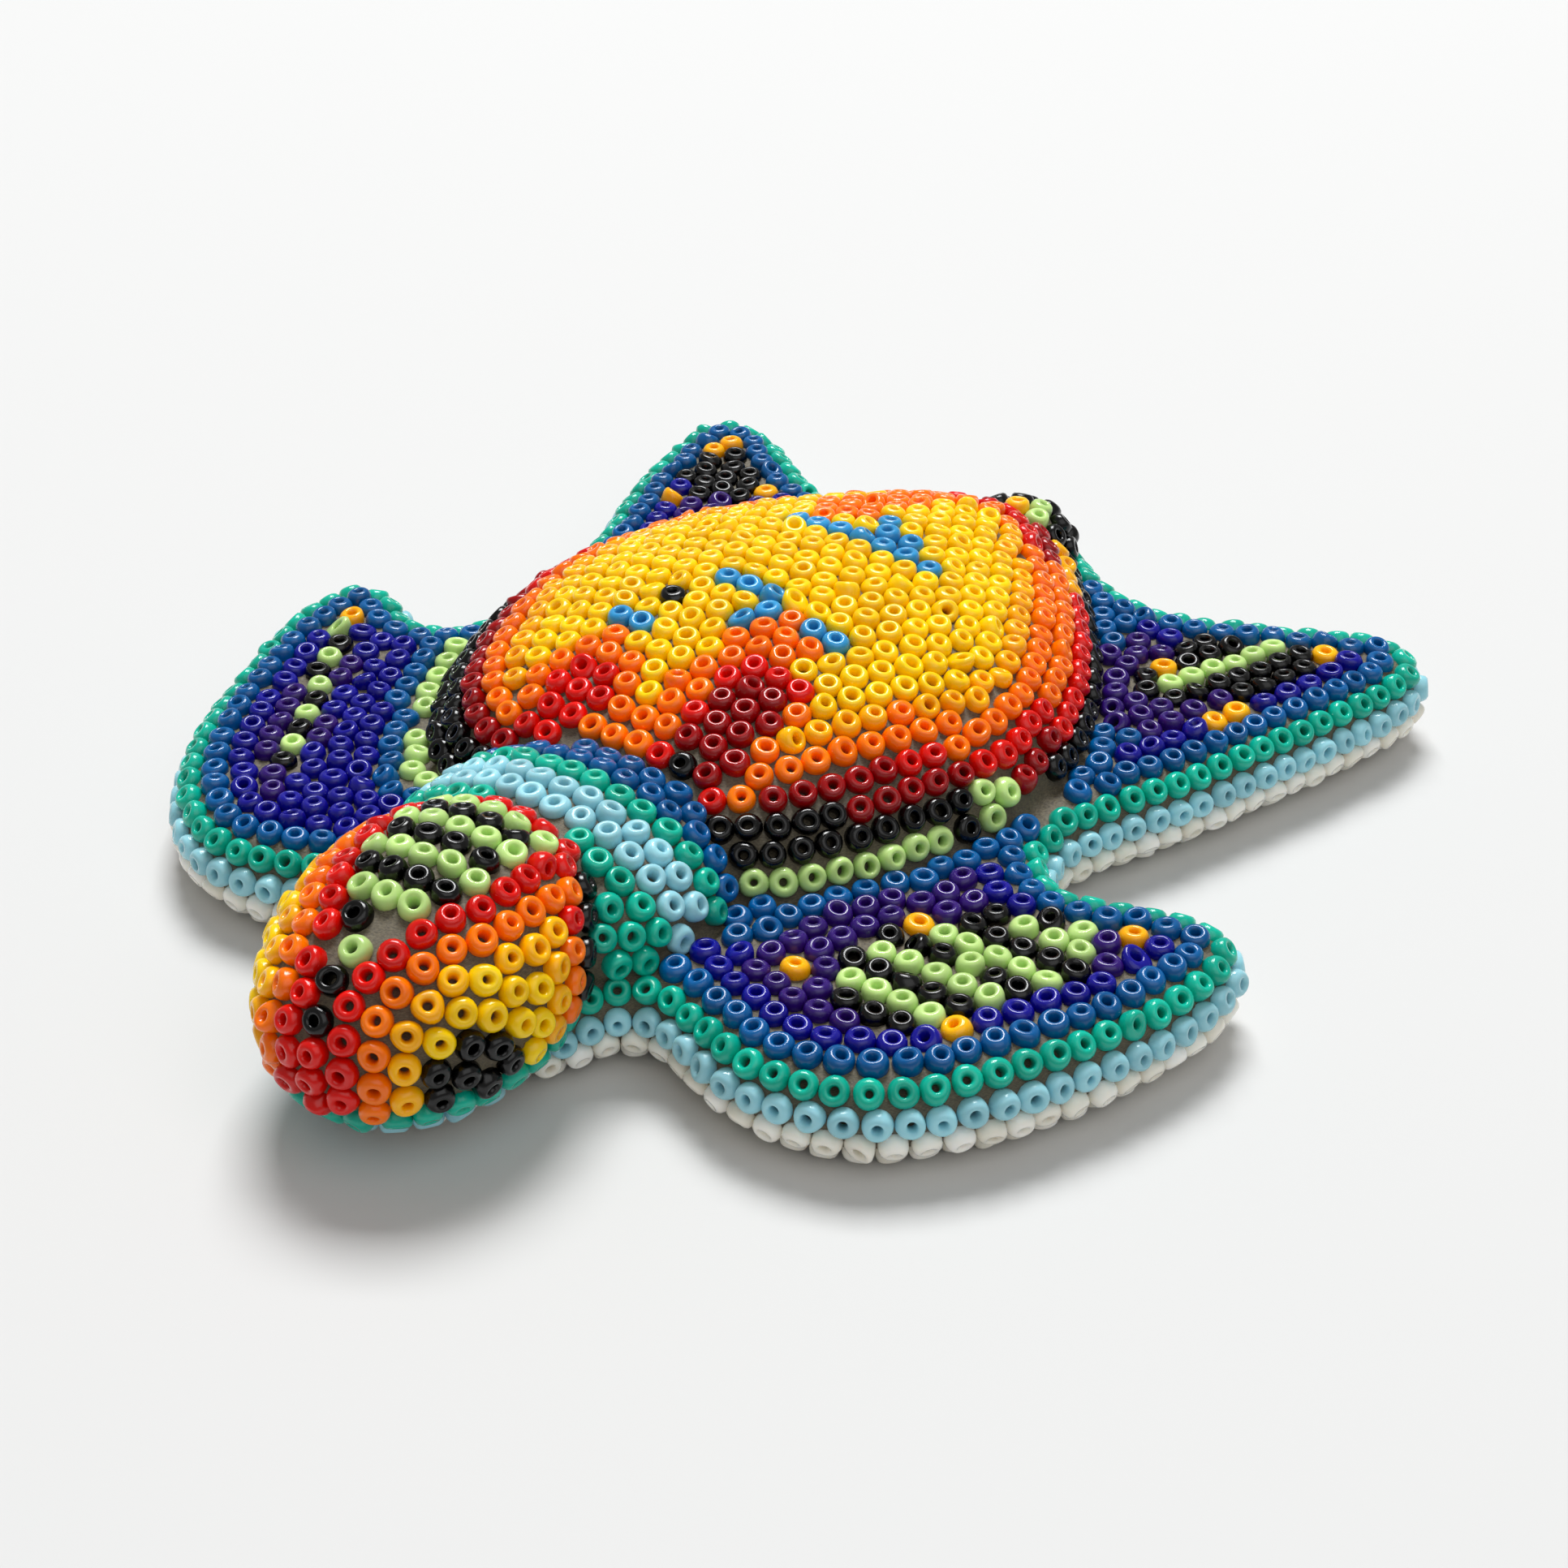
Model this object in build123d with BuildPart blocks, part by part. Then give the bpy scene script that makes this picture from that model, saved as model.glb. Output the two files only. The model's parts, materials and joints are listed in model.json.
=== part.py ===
from build123d import *
import math
import os

import numpy as np

os.makedirs("parts", exist_ok=True)

# A beaded sea turtle in the Huichol manner: a carved wooden core, one coat of beeswax and pine
# resin over it, and glass seed beads pressed into the wax one by one, hole outward.
# Head towards -Y, back of the shell towards +Y, the turtle's left flippers towards +X.

# ---- seed beads (size 11/0) ----
BEAD_OD = 2.06
BEAD_HOLE = 0.84
BEAD_LENGTH = 1.32          # along the hole, at the hole's edge
BEAD_SHOULDER = (0.82, 0.56)    # where a bead's end turns into its side: radius and height
BEAD_LIFT = 0.18            # centre of a bead above the wax surface
BEAD_GAP = 0.015            # least air between neighbouring beads
SPACING = BEAD_OD + BEAD_GAP
PITCH = 2.15                # bead to bead along a row
RING = 2.10                 # row to row round the shell, head and neck
ROW = 1.98                  # row to row where straight rows nest
RIM_ROW = 1.95              # row to row where rows follow the flippers' edges
RIM_SHIFT = 0.6             # how far above the middle of the edge the row numbered 0 lies
CROWDING = 0.93             # share of the spacing that beads may start from before they settle
FOOT_GAP = 1.0              # from the shell's foot to the first row on either side of it
SHELL_RINGS = 4             # rows that follow the shell's edge before the straight ones
WAX_CLEARANCE = 0.35        # least height of a bead above the wax of a neighbouring body
COVER_STEP = 0.45           # spacing of the samples that find bare wax
TAIL_SAMPLES = (60, 16)     # samples round and up the tail
PLATE_TRAVEL = (-34.0, 21.0)    # lowest and highest surface distance sampled on the plate
CELL = 3.0                  # side of the grid cells used to find neighbours
BATCH = 2000                # points measured at a time
DOMAIN = 1.9                # farthest bare wax that pulls on a bead
EASE = 0.6                  # share of the way a bead settles in each round
PUSH = 0.9                  # share of an overlap undone in each round
PUSH_ROUNDS = 60
SLACK = 0.01                # extra room beads are pushed to, so that none is lost to rounding
# Each pass fills bare wax with beads at a share of the spacing, then settles all for some rounds.
PASSES = ((0.84, 2), (0.86, 2), (0.9, 3))

# ---- wax coat and wooden core ----
WAX_THICKNESS = 0.8
FLOOR_LIFT = 0.86           # underside of the wax above the ground
EDGE_RADIUS = 3.1           # half the flippers' thickness and the rounding of their edges
MID_Z = FLOOR_LIFT + EDGE_RADIUS
TOP_Z = MID_Z + EDGE_RADIUS
EDGE_LEVELS = (-90, -68, -45, -22, 0, 22, 45, 68, 90)      # degrees round the edge
OUTLINE_SAMPLES = 900
OUTLINE_STEP = 6            # outline samples between the points of a section

# Outline of the body, four flippers and the tongue under the head, seen from above, in wax.
OUTLINE = [
    (0, -41.6), (5.6, -40.4), (9.4, -37.0), (11.0, -33.6), (13.8, -32.2), (18.3, -33.3),
    (25.2, -34.1), (31.0, -32.0), (36.2, -26.6), (40.2, -19.2), (42.6, -11.8), (43.2, -6.4),
    (42.0, -2.8), (38.0, -2.2), (33.0, -3.9), (28.6, -4.6), (25.9, -1.8), (25.9, 2.8),
    (28.8, 10.2), (31.7, 18.2), (34.5, 27), (36.4, 34.5), (36.2, 38.6), (33.2, 40.8),
    (29.4, 40.0), (25.9, 38.0), (21.7, 36.3), (16.8, 33.9), (11.2, 34.2), (6.3, 36.6),
    (2.6, 39.3), (-1.2, 40.4), (-4.8, 38.7), (-10, 35.2), (-18, 32.8), (-25.6, 36.4),
    (-31.2, 39.6), (-35.2, 40.0), (-37.4, 37.6), (-37.3, 33.4), (-36.2, 28), (-34.4, 22),
    (-32.2, 16.5), (-30.3, 9), (-29.8, 2), (-30.4, -3.4), (-33, -5.4), (-36.4, -4.6),
    (-39.8, -3.4), (-42.4, -4.6), (-43.2, -8.2), (-42.7, -12.4), (-41.1, -17.4), (-38.6, -23.4),
    (-35.4, -29.7), (-32.2, -33.7), (-28.8, -36.3), (-23.8, -37.8), (-18.4, -37.0),
    (-14.6, -35.4), (-11.6, -35.2), (-9.2, -37.6), (-5.4, -40.6),
]

# ---- shell dome ----
SHELL_CENTRE = (-1.6, 5.0)
SHELL_BASE_Z = 5.0
SHELL_HEIGHT = 12.4
SHELL_OUTLINE = [
    (0, -23.6), (7, -23.2), (13.2, -20.0), (18.4, -12.6), (21.8, -3.6), (22.6, 3.2),
    (21.4, 10.4), (18.4, 17.6), (14.2, 24.2), (9.3, 30.2), (4.4, 35.2), (-0.8, 37.4),
    (-6.2, 35.4), (-12.0, 31.0), (-17.6, 25.2), (-22.5, 18.6), (-26.0, 11.1), (-27.6, 3.4),
    (-26.9, -4.8), (-23.4, -13.8), (-16.8, -21.4), (-8, -23.8),
]
SHELL_LEVELS = (0, 14, 28, 42, 55, 67, 77, 85)      # degrees up the dome
SHELL_SAMPLES = 720
SHELL_SPAN = ((-28, 25), (-25, 38))     # across and along, a little beyond the outline
SHELL_INSIDE = 0.98         # share of the way out where straight rows end

# ---- head and neck ----
HEAD_CENTRE = (0.8, -40.3, 9.2)
HEAD_AXES = (12.8, 10.0, 8.1)       # along, across, up
HEAD_YAW = 7.0
HEAD_DIP = 8.0
NECK_CENTRE = (-0.2, -25.5, 7.6)
NECK_AXES = (13.5, 12.2, 6.6)
NECK_DIP = -4.0
TAIL_SLANT = 37.0           # degrees from +X across the tail's bands
TAIL_CENTRE = (-0.2, 34.0, 6.7)
TAIL_AXES = (5.2, 4.7, 4.6)


def unit(vectors):
    """Rows scaled to length one."""
    return vectors / np.linalg.norm(vectors, axis=-1, keepdims=True)


def sample_outline(points, count):
    """Even samples of a smooth closed outline through the points."""
    edge = Edge.make_spline([Vector(x, y, 0) for x, y in points], periodic=True)
    return np.array([(p.X, p.Y) for p in edge.positions(np.arange(count) / count)])


def walk(points, pitch, start=0.0, closed=False):
    """Fractional indices of points spaced evenly along a line of points."""
    if closed:
        points = np.vstack([points, points[:1]])
    steps = np.linalg.norm(np.diff(points, axis=0), axis=1)
    length = np.concatenate([[0.0], np.cumsum(steps)])
    if closed:
        count = max(1, int(length[-1] / pitch))
        stops = (np.arange(count) + start) * length[-1] / count
    else:
        stops = np.arange(start * pitch, length[-1], pitch)
    return np.interp(stops, length, np.arange(len(length)))


def pick(array, index):
    """Values between the rows of an array, the last row running on to the first."""
    low = np.floor(index).astype(int)
    part = (index - low)[:, None]
    count = len(array)
    return array[low % count] * (1 - part) + array[(low + 1) % count] * part


# ---- the plate: body and flippers ----
RIM = sample_outline(OUTLINE, OUTLINE_SAMPLES)
RIM_ALONG = unit(np.roll(RIM, -1, axis=0) - np.roll(RIM, 1, axis=0))
RIM_INWARD = np.column_stack([-RIM_ALONG[:, 1], RIM_ALONG[:, 0]])


def plan_distance(points):
    """Distance in from the outline seen from above, negative outside it."""
    distance = np.empty(len(points))
    after = np.roll(RIM, -1, axis=0)
    for first in range(0, len(points), BATCH):
        part = points[first:first + BATCH]
        gap = np.linalg.norm(part[:, None, :2] - RIM[None], axis=2)
        crossing = (RIM[None, :, 1] > part[:, None, 1]) != (after[None, :, 1] > part[:, None, 1])
        rise = after[None, :, 1] - RIM[None, :, 1]
        rise = np.where(rise == 0, 1e-9, rise)
        share = (part[:, None, 1] - RIM[None, :, 1]) / rise
        meet = RIM[None, :, 0] + share * (after[None, :, 0] - RIM[None, :, 0])
        inside = (crossing & (part[:, None, 0] < meet)).sum(axis=1) % 2 == 1
        distance[first:first + BATCH] = np.where(inside, 1, -1) * gap.min(axis=1)
    return distance


def plate_excess(points):
    """Height of points above the plate's wax surface."""
    inset = plan_distance(points)
    out = np.maximum(EDGE_RADIUS - inset, 0)
    up = np.abs(points[:, 2] - MID_Z)
    return np.hypot(out, up) - EDGE_RADIUS


def plate_row(travel):
    """Points and normals of a line on the plate at a surface distance above the rim's middle."""
    quarter = EDGE_RADIUS * math.pi / 2
    side = 1 if travel >= 0 else -1
    reach = abs(travel)
    angle = min(reach, quarter) / EDGE_RADIUS
    inset = EDGE_RADIUS * (1 - math.cos(angle)) + max(reach - quarter, 0)
    height = MID_Z + side * EDGE_RADIUS * math.sin(angle)
    plan = RIM + RIM_INWARD * inset
    points = np.column_stack([plan, np.full(len(plan), height)])
    normals = np.column_stack(
        [-RIM_INWARD * math.cos(angle), np.full(len(plan), side * math.sin(angle))]
    )
    true = plan_distance(points) > inset - 0.06 if inset > 0.3 else np.full(len(plan), True)
    return points, normals, true


# ---- the shell dome ----
SHELL_RIM = sample_outline(SHELL_OUTLINE, SHELL_SAMPLES)
SHELL_ARMS = SHELL_RIM - np.array(SHELL_CENTRE)
SHELL_ANGLES = np.unwrap(np.arctan2(SHELL_ARMS[:, 1], SHELL_ARMS[:, 0]))
SHELL_REACH = np.linalg.norm(SHELL_ARMS, axis=1)


def shell_reach(angle):
    """Distance from the shell's centre to its outline at an angle."""
    turn = SHELL_ANGLES[0] + np.mod(angle - SHELL_ANGLES[0], 2 * math.pi)
    angles = np.append(SHELL_ANGLES, SHELL_ANGLES[0] + 2 * math.pi)
    return np.interp(turn, angles, np.append(SHELL_REACH, SHELL_REACH[0]))


def shell_share(x, y):
    """How far out a point lies between the shell's centre (0) and outline (1)."""
    across = x - SHELL_CENTRE[0]
    along = y - SHELL_CENTRE[1]
    return np.hypot(across, along) / shell_reach(np.arctan2(along, across))


def shell_value(points):
    """Below one inside the dome, above one outside it."""
    share = shell_share(points[..., 0], points[..., 1])
    return np.sqrt(share ** 2 + ((points[..., 2] - SHELL_BASE_Z) / SHELL_HEIGHT) ** 2)


def shell_excess(points):
    """Rough height of points above the dome's wax surface."""
    above = (shell_value(points) - 1) * SHELL_HEIGHT
    return np.where(points[:, 2] > SHELL_BASE_Z - 1.5, above, 9.0)


def shell_points(x, y):
    """Points and normals on the dome above places seen from above."""
    share = np.minimum(shell_share(x, y), 0.9995)
    height = SHELL_BASE_Z + SHELL_HEIGHT * np.sqrt(1 - share ** 2)
    points = np.column_stack([x, y, height])
    step = 0.02
    slope = np.column_stack([
        shell_value(points + np.array(shift)) - shell_value(points - np.array(shift))
        for shift in ((step, 0, 0), (0, step, 0), (0, 0, step))
    ])
    return points, unit(slope)


# ---- head and neck ellipsoids ----
def ellipsoid_frame(yaw, dip):
    """Columns: forward (towards -Y), to the turtle's left, and up."""
    turn, tilt = math.radians(yaw), math.radians(dip)
    forward = np.array([
        math.sin(turn) * math.cos(tilt), -math.cos(turn) * math.cos(tilt), -math.sin(tilt),
    ])
    left = unit(np.cross([0, 0, 1.0], forward))
    return np.column_stack([forward, left, np.cross(forward, left)])


class Egg:
    """An ellipsoid with its own forward, left and up directions."""

    def __init__(self, centre, axes, yaw, dip):
        self.centre = np.array(centre)
        self.axes = np.array(axes)
        self.frame = ellipsoid_frame(yaw, dip)

    def local(self, points):
        return (points - self.centre) @ self.frame

    def excess(self, points):
        share = np.linalg.norm(self.local(points) / self.axes, axis=1)
        return (share - 1) * self.axes.min()

    def surface(self, directions):
        """Points and normals where directions in the unit sphere meet the surface."""
        local = directions * self.axes
        normals = unit(directions / self.axes)
        return self.centre + local @ self.frame.T, normals @ self.frame.T


HEAD = Egg(HEAD_CENTRE, HEAD_AXES, HEAD_YAW, HEAD_DIP)
NECK = Egg(NECK_CENTRE, NECK_AXES, 0.0, NECK_DIP)
TAIL = Egg(TAIL_CENTRE, TAIL_AXES, 0.0, 0.0)

# ---- colour rules ----
# Leaf shapes on the flippers: centre, heading in degrees, half length and half width.
LEAVES = {
    "left_front": ((29.0, -17.2), 60.0, 10.4, 5.4),
    "left_rear": ((24.4, 29.0), 67.0, 9.4, 4.4),
    "right_front": ((-32.6, -18.4), -58.0, 12.4, 1.2),
    "right_rear": ((-29.4, 31.4), 118.0, 6.6, 4.6),
}
YELLOW_DOTS = {
    "left_front": [(22.9, -15.9), (34.6, -6.6), (20.4, -24.9), (31.8, -23.4)],
    "left_rear": [(20.4, 24.8), (26.3, 19.6), (28.0, 21.4), (28.6, 37.0)],
    "right_front": [(-39.3, -9.8)],
    "right_rear": [(-34.9, 31.0), (-31.8, 36.6), (-23.2, 34.2), (-30.4, 23.1)],
}
RIM_COLOURS = {-2: "white", -1: "white", 0: "sky", 1: "teal", 2: "blue", 3: "indigo"}
BELLY_COLOURS = ("white", "sky", "teal", "blue")
# Steel-blue figures on the shell, one entry a bead, and the black beads set alone.
MOTIF_BEADS = [
    (-5.4, 1.6), (-3.2, 1.8), (-0.9, 1.5), (0.3, -0.2), (-0.7, -1.9), (-1.8, -3.6), (2.8, -0.6),
    (5.1, -0.8), (-9.7, -5.8), (-7.4, -5.8), (-9.0, 13.2), (-6.8, 13.2), (-4.6, 13.2),
    (-2.4, 13.2), (-0.2, 13.2), (2.0, 13.2), (4.0, 13.0), (-1.3, 15.2), (-2.3, 17.2), (1.1, 15.4),
]
BLACK_BEADS = [(-7.9, -1.9), (3.7, -16.5)]
FLAMES = [
    ([(4.4, -18.0), (4.8, -10.0)], 2.5, "maroon"),
    ([(4.4, -16.0), (4.4, -8.4)], 3.4, "red"),
    ([(-7.3, -18.8), (-8.1, -14.6)], 2.5, "red"),
    ([(4.0, -17.0), (3.4, -9.4)], 5.2, "orange"),
    ([(3.0, -8.0), (1.8, -2.4)], 3.0, "orange"),
    ([(-9.0, -17.5), (-8.4, -12.8)], 4.2, "orange"),
    ([(-8.5, -12.0), (-8.7, -9.8)], 1.7, "orange"),
    ([(-3.0, -18.0), (-2.8, -16.0)], 2.4, "orange"),
    ([(-4.0, 30.0), (-6.2, 18.0)], 3.2, "orange"),
]

# Bands in from the shell's edge, each a colour and the depth where it ends; then yellow.
SHELL_BANDS = [("black", 2.1), ("red", 4.2), ("orange", 9.4), ("amber", 11.6)]
LEFT_BANDS = [("green", 2.1), ("black", 6.3), ("maroon", 8.5), ("orange", 11.8), ("amber", 14.0)]
RIGHT_BANDS = [("black", 4.2), ("maroon", 6.3), ("orange", 9.0), ("amber", 11.0)]
REAR_BANDS = [("black", 2.1), ("amber", 4.2), ("maroon", 6.3), ("red", 8.4), ("orange", 12.0)]
FRONT_ORANGE = 12.6         # depth of the orange at the shell's front


def near_line(points, line, reach):
    """Which points lie near a bent line seen from above."""
    line = np.array(line, float)
    hit = np.zeros(len(points), bool)
    for start, end in zip(line[:-1], line[1:]):
        along = end - start
        share = np.clip(((points[:, :2] - start) @ along) / (along @ along), 0, 1)
        gap = points[:, :2] - start - share[:, None] * along
        hit |= np.linalg.norm(gap, axis=1) < reach
    return hit


def leaf(points, centre, heading, long_half, wide_half):
    """Along and across a leaf shape seen from above, and a value below one inside it."""
    turn = math.radians(heading)
    axis = np.array([math.cos(turn), math.sin(turn)])
    offset = points[:, :2] - np.array(centre)
    along = offset @ axis
    across = offset @ np.array([-axis[1], axis[0]])
    return along, across, np.hypot(along / long_half, across / wide_half)


def limb_names(points):
    """The flipper each point of the plate belongs to."""
    side = np.where(points[:, 0] > 0, "left", "right")
    end = np.where(points[:, 1] < -1.5, "_front", "_rear")
    return np.char.add(side, end)


def panel_colours(points):
    """Colours of the flippers' upper faces inside the rim rows."""
    inset = plan_distance(points)
    skirt = (shell_share(points[:, 0], points[:, 1]) - 1) * 22
    colours = np.where(skirt < 3.0, "blue", "indigo").astype(object)
    limbs = limb_names(points)
    for limb, shape in LEAVES.items():
        along, across, value = leaf(points, *shape)
        here = limbs == limb
        colours[here & (value < 1.75) & (inset > 5.4)] = "violet"
        inner = here & (value < 1.0)
        if limb == "left_front":
            stripe = np.floor((points[:, 1] + 60.6) / ROW).astype(int) % 2 == 0
        elif limb == "left_rear":
            stripe = (np.abs(across) < 1.1) | ((np.abs(across - 4.2) < 1.1) & (along > 0))
            stripe &= np.abs(along) < 7.8
        elif limb == "right_front":
            stripe = np.floor((along + 40) / PITCH).astype(int) % 2 == 0
        else:
            stripe = np.zeros(len(points), bool)
        colours[inner] = "black"
        colours[inner & stripe] = "green"
    foot = (points[:, 0] < -8) & (points[:, 1] < -4) & (points[:, 1] > -25) & (skirt < 1.6)
    colours[foot] = "green"
    return colours


def banded(depth, bands, inside):
    """Colours by depth: bands are pairs of a colour and the depth where it ends."""
    colours = np.full(len(depth), inside, dtype=object)
    for colour, end in bands[::-1]:
        colours[depth < end] = colour
    return colours


def shell_colours(points, depth):
    """Colours of the shell from the place seen from above and the depth in from its edge."""
    x, y = points[:, 0], points[:, 1]
    colours = banded(depth, SHELL_BANDS, "yellow")
    colours[((y < 8.5) | (y > 26)) & (depth > 2.1) & (depth < 4.4)] = "maroon"
    colours[(y < 9.5) & (depth > 4.2) & (depth < 6.3)] = "red"
    left_front = (y < -2) & (x > 6)
    colours[left_front] = banded(depth, LEFT_BANDS, "yellow")[left_front]
    taper = np.interp(y, (-13, -10, -7.5), (0.0, 1.2, 2.1))
    colours[left_front & (depth > 6.3 - taper) & (depth < 8.5 - taper)] = "maroon"
    colours[left_front & (y > -7.5) & (depth > 6.4) & (depth < 8.5)] = "red"
    right_front = (y < -2) & (x < -6)
    colours[right_front] = banded(depth, RIGHT_BANDS, "yellow")[right_front]
    front = (np.abs(x) <= 6) & (y < -12)
    colours[front & (depth < FRONT_ORANGE)] = "orange"
    for line, reach, colour in FLAMES[::-1]:
        colours[near_line(points, line, reach) & (depth > 6.3)] = colour
    block = (x > 20.2) & (y > -5.8) & (y < 1.2)
    colours[block & (depth < 3.6)] = "green"
    colours[near_line(points, [(19.2, -4.0), (21.2, -7.0)], 1.1)] = "black"
    rear = (x > -5) & (y > 27)
    colours[rear] = banded(depth, REAR_BANDS, "yellow")[rear]
    return colours


HEAD_LINE_COLOURS = ("red", "orange", "amber", "yellow")
# Bands behind the eyes: first line, limit of the place forward and up, colour.
HEAD_BACK = [(2, 0.6, "amber"), (1, -1.0, "orange"), (2, -2.6, "red")]
HEAD_BACK_SLANT = 0.6       # how much height counts beside place forward
HEAD_BLACK = (-4.1, 3.2)    # the same limit for the black patch behind them, and its top
EYE_CENTRE = (6.6, -0.4)    # forward and up
EYE_AXES = (3.7, 2.8)
EYE_DROP = 2.0              # how much lower the right eye sits
JAW_RINGS = {-2: "teal", -3: "sky", -4: "white", -5: "white"}
CROWN_ROWS = {
    -4: "green", -3: "black", -2: "green", -1: "black", 0: "green", 1: "black", 2: "green",
}
PANEL_ALONG = (-13.0, -5.0, -2.0, 0.0, 2.0, 4.0, 6.0, 8.0, 13.0)
PANEL_WIDTH = (5.6, 5.1, 4.6, 4.2, 3.5, 2.7, 1.8, 1.05, 1.05)
CROWN_START = -1.5          # from the head's middle forward to crown row 0
# Beads set alone down the snout: forward over the head, to the side, colour.
LONE_BEADS = [
    (4.8, -1.2, "black"), (6.7, 0.6, "green"), (9.4, -0.2, "black"), (11.8, -0.6, "black"),
]
LONE_RADIUS = 1.0
BARE_SPOTS = [(5.0, 1.2), (7.4, -1.7)]      # wax left without beads: forward and to the side
BARE_RADIUS = 1.3


def head_place(points):
    """Distance forward over the head, distance to the side, and line number from the crown."""
    local = HEAD.local(points) / HEAD_AXES
    climb = np.degrees(np.arctan2(local[:, 2], local[:, 0])) % 360
    turn = np.arctan2(local[:, 1], np.hypot(local[:, 0], local[:, 2]))
    column = np.rint(climb).astype(int) % 360
    side = np.array([
        np.interp(abs(t), SIDE_TURNS, SIDE_TRAVEL[c]) for c, t in zip(column, turn)
    ]) * np.sign(turn)
    over = np.interp((climb + 90) % 360, np.arange(361), OVER_TRAVEL)
    width = np.interp(HEAD_AXES[0] * np.cos(np.radians(climb)), PANEL_ALONG, PANEL_WIDTH)
    line = np.floor((np.abs(side) - width) / RING).astype(int)
    return over, side, line


def head_colours(points):
    """Colours of the head: striped crown, lines round it, eyes, and bands under the jaw."""
    forward, _, up = HEAD.local(points).T
    over, side, line = head_place(points)
    jaw = head_ring(points)
    colours = np.array([HEAD_LINE_COLOURS[min(max(n, 0), 3)] for n in line], dtype=object)
    crown = line < 0
    row = np.rint((over - CROWN_START) / ROW).astype(int)
    colours[crown] = np.array([CROWN_ROWS.get(n, "red") for n in row], dtype=object)[crown]
    slope = forward + HEAD_BACK_SLANT * up
    for first, limit, colour in HEAD_BACK:
        colours[(line >= first) & (slope < limit)] = colour
    colours[(line >= 1) & (slope < HEAD_BLACK[0]) & (up < HEAD_BLACK[1])] = "black"
    ahead = forward - EYE_CENTRE[0]
    above = up - EYE_CENTRE[1] + np.where(side < 0, EYE_DROP, 0)
    eye = np.hypot(ahead / EYE_AXES[0], above / EYE_AXES[1]) < 1
    colours[eye & (line >= 2)] = "black"
    for ring, colour in JAW_RINGS.items():
        colours[jaw <= ring] = colour
    for ahead, aside, colour in LONE_BEADS:
        colours[(np.hypot(over - ahead, side - aside) < LONE_RADIUS) & crown] = colour
    return colours


TAIL_BANDS = [("amber", 1.0), ("green", 3.1)]
TAIL_BLACK = 1.8            # how far behind its middle the tail turns black


def tail_colours(points):
    """Colours of the tail in bands that run slantwise across it, black behind."""
    slant = math.radians(TAIL_SLANT)
    offset = points[:, :2] - np.array(TAIL_CENTRE[:2])
    across = offset @ np.array([math.cos(slant), math.sin(slant)])
    behind = offset @ np.array([-math.sin(slant), math.cos(slant)])
    colours = banded(across, TAIL_BANDS, "black")
    colours[behind > TAIL_BLACK] = "black"
    return colours


NECK_COLOURS = {-1: "teal", 0: "sky", 1: "sky"}      # behind these rings blue, before them teal
NECK_WHITE = 2.6            # the neck is white below this height

# ---- bead laying ----
candidates = []             # groups of points, outward directions, regions and colours


def propose(points, normals, region, colours):
    """Queue beads for pressing in; points lie on the wax surface."""
    if len(points):
        regions = np.full(len(points), region) if isinstance(region, str) else region
        candidates.append((points + normals * BEAD_LIFT, normals, regions, colours))


def spread(points, normals, keep, pitch, start=0.0):
    """Even stops along a closed line, only where it may carry beads."""
    if keep.all():
        stops = walk(points, pitch, start, closed=True)
    else:
        shift = int(np.argmin(keep))
        order = np.roll(np.arange(len(points)), -shift)
        order = order[keep[order]]
        jumps = np.linalg.norm(np.diff(points[order], axis=0), axis=1) > 1.2
        stops = []
        for piece in np.split(np.arange(len(order)), np.flatnonzero(jumps) + 1):
            if len(piece) > 1:
                at = walk(points[order[piece]], pitch, 0.3 + start)
                stops.append(order[piece[np.rint(at).astype(int)]])
        stops = np.concatenate(stops) if stops else np.zeros(0)
    return pick(points, stops), unit(pick(normals, stops))


def lay_rim(rows):
    """Rows along the whole outline, following the rounded edge."""
    for row in rows:
        points, normals, keep = plate_row(row * RIM_ROW + RIM_SHIFT)
        if not keep.any():
            continue
        points, normals = spread(points, normals, keep, PITCH, 0.5 * (row % 2))
        if row < -2:
            colours = np.full(len(points), BELLY_COLOURS[(-row - 3) % 4], dtype=object)
            propose(points, normals, "underside", colours)
        elif row < 3:
            colours = np.full(len(points), RIM_COLOURS[row], dtype=object)
            propose(points, normals, "rim", colours)
        else:
            regions = limb_names(points)
            propose(points, normals, regions, panel_colours(points))


def shell_profile(count=60):
    """Points up the dome for every outline sample, with the surface distance from the crease."""
    crease = math.asin((TOP_Z - SHELL_BASE_Z) / SHELL_HEIGHT)
    climb = np.linspace(crease, math.radians(88), count)
    plan = np.array(SHELL_CENTRE) + SHELL_ARMS[:, None, :] * np.cos(climb)[None, :, None]
    height = SHELL_BASE_Z + SHELL_HEIGHT * np.sin(climb)
    grid = np.dstack([plan, np.broadcast_to(height, plan.shape[:2])])
    steps = np.linalg.norm(np.diff(grid, axis=1), axis=2)
    depth = np.concatenate([np.zeros((len(grid), 1)), np.cumsum(steps, axis=1)], axis=1)
    return grid, depth


SHELL_GRID, SHELL_DEPTH = shell_profile()


def shell_depth(points):
    """Surface distance from the crease up to points on the dome."""
    angle = np.arctan2(points[:, 1] - SHELL_CENTRE[1], points[:, 0] - SHELL_CENTRE[0])
    turn = np.mod(angle - SHELL_ANGLES[0], 2 * math.pi)
    column = np.searchsorted(SHELL_ANGLES - SHELL_ANGLES[0], turn) % len(SHELL_GRID)
    return np.array([
        np.interp(z, SHELL_GRID[c, :, 2], SHELL_DEPTH[c]) for c, z in zip(column, points[:, 2])
    ])


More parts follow.
